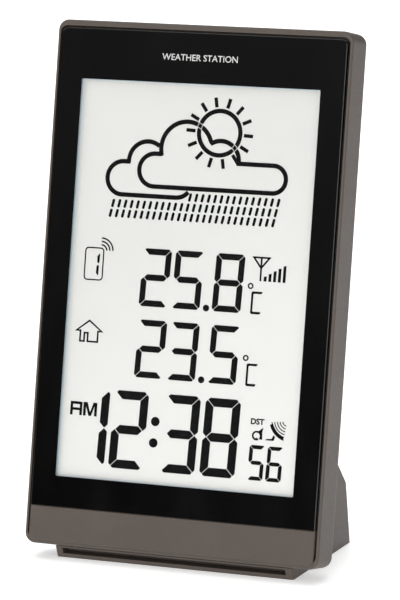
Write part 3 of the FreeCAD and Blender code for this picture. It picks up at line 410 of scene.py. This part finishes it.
def prism(name, shapes, near, far, material, shift=0.0):
    """Flat shapes on the face, each (points, faces), made solid from depth near to far."""
    verts, faces = [], []
    for points, polys in shapes:
        first = len(verts)
        count = len(points)
        verts += [at(x + shift, near, v) for x, v in points]
        verts += [at(x + shift, far, v) for x, v in points]
        edges = set()
        for poly in polys:
            faces.append([first + i for i in poly])
            faces.append([first + count + i for i in reversed(poly)])
            edges |= set(zip(poly, poly[1:] + poly[:1]))
        faces += [
            [first + b, first + a, first + count + a, first + count + b]
            for a, b in sorted(edges) if (b, a) not in edges
        ]
    return add_mesh(name, verts, faces, material)


def loft(name, loops, material, closed=False):
    """Skin between loops of equal length; closed joins the last loop to the first."""
    count = len(loops[0])
    verts = [p for loop in loops for p in loop]
    faces = []
    for k in range(len(loops) - (0 if closed else 1)):
        a, b = k * count, (k + 1) % len(loops) * count
        for i in range(count):
            j = (i + 1) % count
            faces.append([a + i, a + j, b + j, b + i])
    if not closed:
        faces.append(list(range(count)))
        faces.append(list(range((len(loops) - 1) * count, len(loops) * count))[::-1])
    return add_mesh(name, verts, faces, material)


def rounded(left, right, bottom, top, radii, steps=8):
    """Outline of a box with its own radius at each corner, anticlockwise from bottom left."""
    corners = (
        (left, bottom, 1, 1, 180), (right, bottom, -1, 1, 270),
        (right, top, -1, -1, 0), (left, top, 1, -1, 90),
    )
    points = []
    for (x, v, sx, sv, start), r in zip(corners, radii):
        points += arc(x + sx * r, v + sv * r, r, start, start + 90, steps)
    return points


def arc(x, v, radius, start, end, steps=None):
    """Points on an arc; the angles are in degrees."""
    steps = steps or max(4, round(abs(end - start) / 5))
    turns = [math.radians(start + (end - start) * i / steps) for i in range(steps + 1)]
    return [(x + radius * math.cos(t), v + radius * math.sin(t)) for t in turns]


def stroke(points, width, closed=False):
    """A line of constant width with mitred bends, as (points, faces)."""
    spots = [Vector(p) for p in points]
    count = len(spots)
    left, right = [], []
    for i, spot in enumerate(spots):
        ways = []
        if closed or i > 0:
            ways.append((spot - spots[i - 1]).normalized())
        if closed or i < count - 1:
            ways.append((spots[(i + 1) % count] - spot).normalized())
        mean = sum(ways, Vector((0, 0))).normalized()
        side = Vector((-mean.y, mean.x))
        reach = width / 2 / max(0.42, abs(mean.dot(ways[0])))
        left.append(tuple(spot + side * reach))
        right.append(tuple(spot - side * reach))
    runs = count if closed else count - 1
    faces = []
    for i in range(runs):
        j = (i + 1) % count
        faces.append([i, i + count, j + count, j])
    return left + right, faces


def solid(points):
    return list(points), [list(range(len(points)))]


def disc(x, v, radius):
    return solid(arc(x, v, radius, 0, 360, 36)[:-1])


def leaning(shapes, slant, base, height):
    """Shapes slanted so that they lean right by slant at the given height."""
    return [
        ([(x + slant * (v - base) / height, v) for x, v in points], faces)
        for points, faces in shapes
    ]


# ---------------------------------------------------------- lens and window
HOLE_FLARE = 0.5
BEVEL = 0.25
PANEL_CORNER = 1.9
HOLE_CORNER = 0.35
LOW_CORNER = 0.15
LEAST_CORNER = 0.05
LOW_INSET = 0.3                    # share of the bevel along the seam with the chin
BEVEL_STEPS = 5
outer_radii = (LOW_CORNER, LOW_CORNER, PANEL_CORNER, PANEL_CORNER)


def lens_outline(inset, w):
    radii = [max(LEAST_CORNER, r - inset) for r in outer_radii]
    outline = rounded(
        -HALF_PANEL + inset, HALF_PANEL - inset,
        LENS_LOW + inset * LOW_INSET, LENS_TOP - inset, radii,
    )
    return [at(x, w, v) for x, v in outline]


def hole_outline(grow, w):
    outline = rounded(
        -HALF_WINDOW - grow, HALF_WINDOW + grow, WINDOW_LOW - grow, WINDOW_TOP + grow,
        [HOLE_CORNER] * 4,
    )
    return [at(x, w, v) for x, v in outline]


bevel_turns = [math.radians(90 * k / BEVEL_STEPS) for k in range(BEVEL_STEPS + 1)]
border_loops = [hole_outline(HOLE_FLARE, LENS_BACK), hole_outline(0, 0)]
border_loops += [
    lens_outline(BEVEL * (1 - math.sin(t)), BEVEL * (1 - math.cos(t))) for t in bevel_turns
]
border_loops.append(lens_outline(0, LENS_BACK))
border = loft("lens_border", border_loops, by_slot["black_gloss"], closed=True)
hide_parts("front_lens")

PANE_GAP = 0.01
PANE_BACK = 1.15
loft(
    "lens_window",
    [hole_outline(-PANE_GAP, 0.0), hole_outline(HOLE_FLARE - 3 * PANE_GAP, PANE_BACK)],
    pane_clear,
)

FACE_FRONT = 1.27
FACE_OVER = 0.9                    # how far the sheet reaches past the window
FACE_BEVEL = 0.05
display = loft(
    "display_face",
    [hole_outline(FACE_OVER - FACE_BEVEL, FACE_FRONT),
     hole_outline(FACE_OVER, FACE_FRONT + FACE_BEVEL),
     hole_outline(FACE_OVER, POLARISER_BACK)],
    by_slot["polariser"],
)
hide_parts("front_polariser")

# ------------------------------------------------------- display's drawing
INK_NEAR = 1.215
INK_FAR = 1.268
INK_SHIFT = -0.49
CHAMFER = 0.9
SHOWN = {
    "1": "bc", "2": "abged", "3": "abgcd", "5": "afgcd", "6": "afgedc", "8": "abcdefg",
}


def drawing(name, shapes):
    return prism(name, shapes, INK_NEAR, INK_FAR, ink, INK_SHIFT)


def digit(character, x, v, wide, high, thick, slant, chamfer=CHAMFER, gap=0.15):
    """One seven-segment figure with mitred, slightly parted segments."""
    d = gap / math.sqrt(2)
    c = chamfer
    mid = high / 2
    top = [
        (c / 2 + d / 2, high - c / 2 + d / 2), (c, high), (wide - c, high),
        (wide - c / 2 - d / 2, high - c / 2 + d / 2),
        (wide - thick - d, high - thick), (thick + d, high - thick),
    ]
    left = [
        (c / 2 - d / 2, high - c / 2 - d / 2), (thick, high - thick - d),
        (thick, mid + 0.6 * thick + d / 2), (0.4 * thick, mid + d / 2),
        (0, mid + 0.4 * thick + d / 2), (0, high - c),
    ]
    middle = [
        (0.45 * thick + d, mid), (0.95 * thick + d, mid + thick / 2),
        (wide - 0.95 * thick - d, mid + thick / 2), (wide - 0.45 * thick - d, mid),
        (wide - 0.95 * thick - d, mid - thick / 2), (0.95 * thick + d, mid - thick / 2),
    ]
    segments = {
        "a": top,
        "b": [(wide - p, q) for p, q in left],
        "c": [(wide - p, high - q) for p, q in left],
        "d": [(p, high - q) for p, q in top],
        "e": [(p, high - q) for p, q in left],
        "f": left,
        "g": middle,
    }
    shapes = [solid([(x + p, v + q) for p, q in segments[s]]) for s in SHOWN[character]]
    return leaning(shapes, slant, v, high)


RING = (6.9, 117.6)
RING_OUTER = 6.8
RING_STROKE = 1.25
RAY_COUNT = 14
RAY_FIRST = 100.3
RAY_REACH = (7.25, 10.0)
RAY_WIDE = 1.0
ring_middle = RING_OUTER - RING_STROKE / 2
sun = [stroke(arc(*RING, ring_middle, 0, 360, 96)[:-1], RING_STROKE, closed=True)]
for k in range(RAY_COUNT):
    turn = math.radians(RAY_FIRST - 360 / RAY_COUNT * k)
    reach = [(RING[0] + r * math.cos(turn), RING[1] + r * math.sin(turn)) for r in RAY_REACH]
    sun.append(stroke(reach, RAY_WIDE))
drawing("figure_sun", sun)

CLOUD_STROKE = 1.28
front_cloud = (
    arc(-11.9, 106.3, 4.6, 90, 270)
    + arc(23.6, 105.58, 3.83, -90, 90)
    + [(16.0, 109.41)]
    + arc(7.6, 109.9, 5.55, -5, 119)
    + arc(-2.7, 112.7, 7.6, 15, 193)[1:]
    + [(-10.3, 110.9)]
)
drawing("figure_cloud_front", [stroke(front_cloud, CLOUD_STROKE, closed=True)])
back_cloud = (
    arc(-14.2, 108.6, 5.6, 53, 181)
    + [(-19.85, 108.3)]
    + arc(-21.3, 103.62, 4.67, 90, 270)
    + arc(-5.0, 103.8, 4.85, -90, -40)
)
drawing("figure_cloud_back", [stroke(back_cloud, CLOUD_STROKE)])

RAIN_PITCH = 1.88
RAIN_WIDE = 0.8
RAIN_LEAN = 0.17
RAIN_RISE = 0.8
rain = []
for first, row_v, count in ((-0.65, 99.25, 15), (-23.75, 96.4, 27), (-24.3, 93.6, 27)):
    for k in range(count):
        x = first + RAIN_PITCH * k
        low_end = (x - RAIN_LEAN, row_v - RAIN_RISE)
        high_end = (x + RAIN_LEAN, row_v + RAIN_RISE)
        half = RAIN_WIDE / 2
        rain.append(solid(
            arc(*high_end, half, -10, 170, 8) + arc(*low_end, half, 170, 350, 8)
        ))
drawing("figure_rain", rain)

# thin clear lines where two figures cross: the turn on the sun's ring, the turn on the cloud,
# the cloud's centre and radius, and half of each arc that is drawn
GAP_WIDE = 0.14
CROSSINGS = (
    (164.0, 61.0, (-2.7, 112.7), 7.6, 10, 7),
    (-42.0, 43.0, (7.6, 109.9), 5.55, 10, 11),
)
gaps = []
for ring_turn, cloud_turn, centre, radius, ring_half, cloud_half in CROSSINGS:
    for r in (RING_OUTER, RING_OUTER - RING_STROKE):
        ring_arc = arc(*RING, r, ring_turn - ring_half, ring_turn + ring_half, 8)
        gaps.append(stroke(ring_arc, GAP_WIDE))
    for r in (radius - CLOUD_STROKE / 2, radius + CLOUD_STROKE / 2):
        cloud_arc = arc(*centre, r, cloud_turn - cloud_half, cloud_turn + cloud_half, 8)
        gaps.append(stroke(cloud_arc, GAP_WIDE))
prism(
    "figure_gaps", gaps, INK_NEAR - 0.01, INK_NEAR, by_slot["polariser"], INK_SHIFT,
)

icon = [
    stroke(rounded(-31.1, -25.6, 74.5, 83.5, [0.9] * 4, 5), 0.36, closed=True),
    solid([
        (-27.45, 81.2), (-26.75, 82.0), (-26.65, 81.9), (-26.7, 79.5), (-27.0, 79.15),
        (-27.4, 79.5),
    ]),
    solid([
        (-27.5, 78.4), (-27.1, 78.8), (-26.8, 78.4), (-26.85, 76.1), (-27.0, 75.75),
        (-27.6, 76.5),
    ]),
]
icon += [stroke(arc(-26.35, 82.85, r, 2, 92), 0.42) for r in (3.5, 2.55, 1.6)]
drawing("figure_sensor", icon)


def temperature(name, figures, base):
    shapes = []
    for character, x in zip(figures, (-14.0, -4.2, 8.0)):
        shapes += digit(character, x, base, 8.6, 16.25, 1.75, 0.5)
    shapes.append(disc(6.33, base + 0.72, 0.95))
    shapes.append(stroke(arc(19.15, base + 7.75, 0.65, 0, 360, 28)[:-1], 0.42, closed=True))
    shapes.append(solid([
        (19.5, base + 0.35), (19.8, base), (22.25, base), (22.6, base + 0.55),
        (22.35, base + 0.7), (20.25, base + 0.7), (20.1, base + 0.85),
        (20.15, base + 5.45), (20.4, base + 5.65), (22.45, base + 5.65),
        (22.85, base + 6.15), (22.6, base + 6.3), (19.9, base + 6.3), (19.55, base + 5.95),
    ]))
    drawing(name, shapes)


temperature("figure_outdoor", "258", 68.1)
temperature("figure_indoor", "235", 48.1)

signal = [
    stroke([(19.6, 83.85), (24.25, 83.85), (21.9, 80.95)], 0.52, closed=True),
    stroke([(21.9, 83.7), (21.9, 77.35)], 0.52),
]
BARS_LOW = 77.35
BARS_FIRST = 22.85
BARS_PITCH = 1.4
for k, tall in enumerate((1.45, 2.25, 3.05, 3.85, 4.65)):
    x = BARS_FIRST + BARS_PITCH * k
    signal.append(solid([
        (x, BARS_LOW), (x + 0.85, BARS_LOW),
        (x + 0.88, BARS_LOW + tall), (x + 0.05, BARS_LOW - 0.15 + tall),
    ]))
drawing("figure_signal", signal)

drawing("figure_house", [stroke([
    (-31.1, 60.05), (-32.3, 60.05), (-28.5, 62.95), (-24.6, 60.05), (-25.75, 60.05),
    (-25.75, 57.05), (-28.8, 57.05), (-28.8, 59.45), (-29.85, 59.45), (-29.85, 57.05),
    (-31.1, 57.05),
], 0.5, closed=True)])

TIME_LOW = 22.2
clock = [disc(-6.55, 36.15, 1.3), disc(-6.75, 30.15, 1.3)]
for character, x in zip("1238", (-31.75, -20.0, -4.4, 7.6)):
    clock += digit(character, x, TIME_LOW, 10.5, 21.9, 2.45, 0.6, chamfer=1.3, gap=0.17)
drawing("figure_time", clock)
seconds = []
for character, x in zip("56", (21.8, 27.2)):
    seconds += digit(character, x, 22.25, 4.6, 9.75, 1.08, 0.3, 0.6, 0.12)
drawing("figure_seconds", seconds)

morning = [
    stroke([(-32.25, 36.15), (-32.2, 39.98)], 0.78),
    solid([(-31.9, 39.2), (-31.9, 39.98), (-29.5, 39.98), (-29.75, 39.2)]),
    solid([(-31.85, 37.5), (-31.85, 38.25), (-29.8, 38.25), (-29.8, 37.5)]),
    stroke([(-29.4, 36.15), (-29.35, 39.9)], 0.78),
    solid([
        (-28.65, 36.15), (-27.85, 36.15), (-27.85, 38.9), (-26.95, 36.15), (-26.2, 36.15),
        (-25.25, 38.9), (-25.25, 36.15), (-24.45, 36.15), (-24.45, 39.98), (-25.6, 39.98),
        (-26.55, 37.2), (-27.45, 39.98), (-28.65, 39.98),
    ]),
]
drawing("figure_morning", morning)

badge = [
    # bell on its side
    solid([
        (25.75, 37.05), (25.5, 35.6), (25.6, 33.6), (24.6, 33.75), (24.9, 34.6),
        (24.55, 35.3), (23.95, 35.75), (24.6, 36.1), (25.2, 36.55),
    ]),
    stroke(arc(23.85, 34.65, 1.1, 60, 300, 16), 0.5),
    disc(23.9, 33.75, 0.32),
    # dish with its waves
    solid(
        arc(33.3, 39.6, 5.9, 196, 254, 12) + [(31.9, 33.75)]
        + arc(33.6, 40.0, 5.35, 250, 198, 12)
    ),
    solid([(26.5, 33.6), (26.8, 33.95), (28.35, 34.1), (28.9, 35.2), (29.35, 34.7), (29.0, 33.6)]),
]
badge += [stroke(arc(32.6, 39.2, r, 186, 262, 14), 0.27) for r in (1.25, 2.05, 2.85, 3.65, 4.45)]
drawing("figure_badges", badge)


# -------------------------------------------------------------- lettering
def lettering(name, words, x, v, tall, near, far, material, weight=0.0, back=False):
    """Plain capitals, centred at x, v, from depth near to far; back faces the other way."""
    curve = bpy.data.curves.new(name, "FONT")
    curve.body = words
    curve.align_x = "CENTER"
    curve.align_y = "CENTER"
    curve.size = tall * MM / 0.7
    curve.offset = weight * MM
    curve.extrude = abs(far - near) / 2 * MM
    curve.resolution_u = 4
    spare = bpy.data.objects.new(name + "_outline", curve)
    scene.collection.objects.link(spare)
    bpy.context.view_layer.update()
    depsgraph = bpy.context.evaluated_depsgraph_get()
    mesh = bpy.data.meshes.new_from_object(spare.evaluated_get(depsgraph))
    bpy.data.objects.remove(spare)
    right = -ACROSS if back else ACROSS
    outward = INTO if back else -INTO
    place = at(x, (near + far) / 2, v)
    turn = Matrix((right, UP, outward)).transposed().to_4x4()
    mesh.transform(Matrix.Translation(place) @ turn)
    mesh.materials.clear()
    return add_piece(name, mesh, material)


lettering(
    "print_face", "WEATHER STATION", -0.4, 138.0, 1.75, -0.012, 0.02,
    pale_print, 0.02,
)
lettering(
    "figure_summer", "DST", 23.85 + INK_SHIFT, 38.45, 1.55, INK_NEAR, INK_FAR,
    ink, 0.08,
)

KEY_PRINT_DROP = 0.6
KEY_PRINT_TALL = 1.5
for key, words in (
    ("set", "SET"), ("minus", "-"), ("plus", "+"), ("channel", "CH"), ("alarm", "ALARM"),
):
    low, high = face_box("key_" + key)
    lettering(
        "print_" + key, words, (low[0] + high[0]) / 2, low[2] - KEY_PRINT_DROP, KEY_PRINT_TALL,
        KEYHOLE_W - 0.02, KEYHOLE_W + 0.03, pale_print, 0.02, back=True,
    )


# -------------------------------------------------------- floor and lights
def floor_material():
    f = Finish("floor_pale", Roughness=0.7, Emission_Strength=0.42)
    soft = f.ranged(f.noise(120, 2), 0.3, 0.7)
    f.set("Base Color", f.mixed(soft, tone(236, 236, 236), tone(241, 241, 241)))
    return f.material


FLOOR_HALF = 5.0
floor_mesh = bpy.data.meshes.new("floor")
grid = bmesh.new()
bmesh.ops.create_grid(grid, x_segments=8, y_segments=8, size=FLOOR_HALF)
grid.to_mesh(floor_mesh)
grid.free()
floor_mesh.materials.append(floor_material())
floor = bpy.data.objects.new("floor", floor_mesh)
scene.collection.objects.link(floor)


def softbox(name, place, wide, high, watts, target=(0, 0, 0.07)):
    light = bpy.data.lights.new(name, "AREA")
    light.shape = "RECTANGLE"
    light.size = wide
    light.size_y = high
    light.energy = watts
    thing = bpy.data.objects.new(name, light)
    scene.collection.objects.link(thing)
    thing.location = place
    thing.rotation_mode = "QUATERNION"
    thing.rotation_quaternion = (Vector(target) - Vector(place)).to_track_quat("-Z", "Y")
    return thing


softbox("light_top", (-0.3, 0.2, 2.2), 2.4, 2.4, 27)
softbox("light_front", (0.5, -2.0, 0.5), 1.3, 1.0, 21)
softbox("light_left", (-1.6, -1.5, 1.5), 1.0, 1.0, 11)
softbox("light_back", (-0.8, 2.8, 2.4), 3.0, 2.6, 75, (-0.5, 2.6, 0.0))


def studio_world():
    """Dim low in front, growing brighter overhead."""
    world = bpy.data.worlds.new("studio")
    world.use_nodes = True
    tree = world.node_tree
    sky = tree.nodes["Background"]
    sky.inputs["Color"].default_value = (1.0, 1.0, 1.0, 1.0)
    place = tree.nodes.new("ShaderNodeTexCoord").outputs["Generated"]
    rise = tree.nodes.new("ShaderNodeVectorMath")
    rise.operation = "DOT_PRODUCT"
    rise.inputs[1].default_value = (0.15, 0.0, 1.0)
    tree.links.new(place, rise.inputs[0])
    level = tree.nodes.new("ShaderNodeMapRange")
    level.inputs["From Min"].default_value = 0.04
    level.inputs["From Max"].default_value = 0.4
    level.inputs["To Min"].default_value = 0.0
    level.inputs["To Max"].default_value = 0.4
    tree.links.new(rise.outputs["Value"], level.inputs["Value"])
    tree.links.new(level.outputs["Result"], sky.inputs["Strength"])
    return world


scene.world = studio_world()

# ------------------------------------------------------------------ finish
bpy.context.view_layer.update()
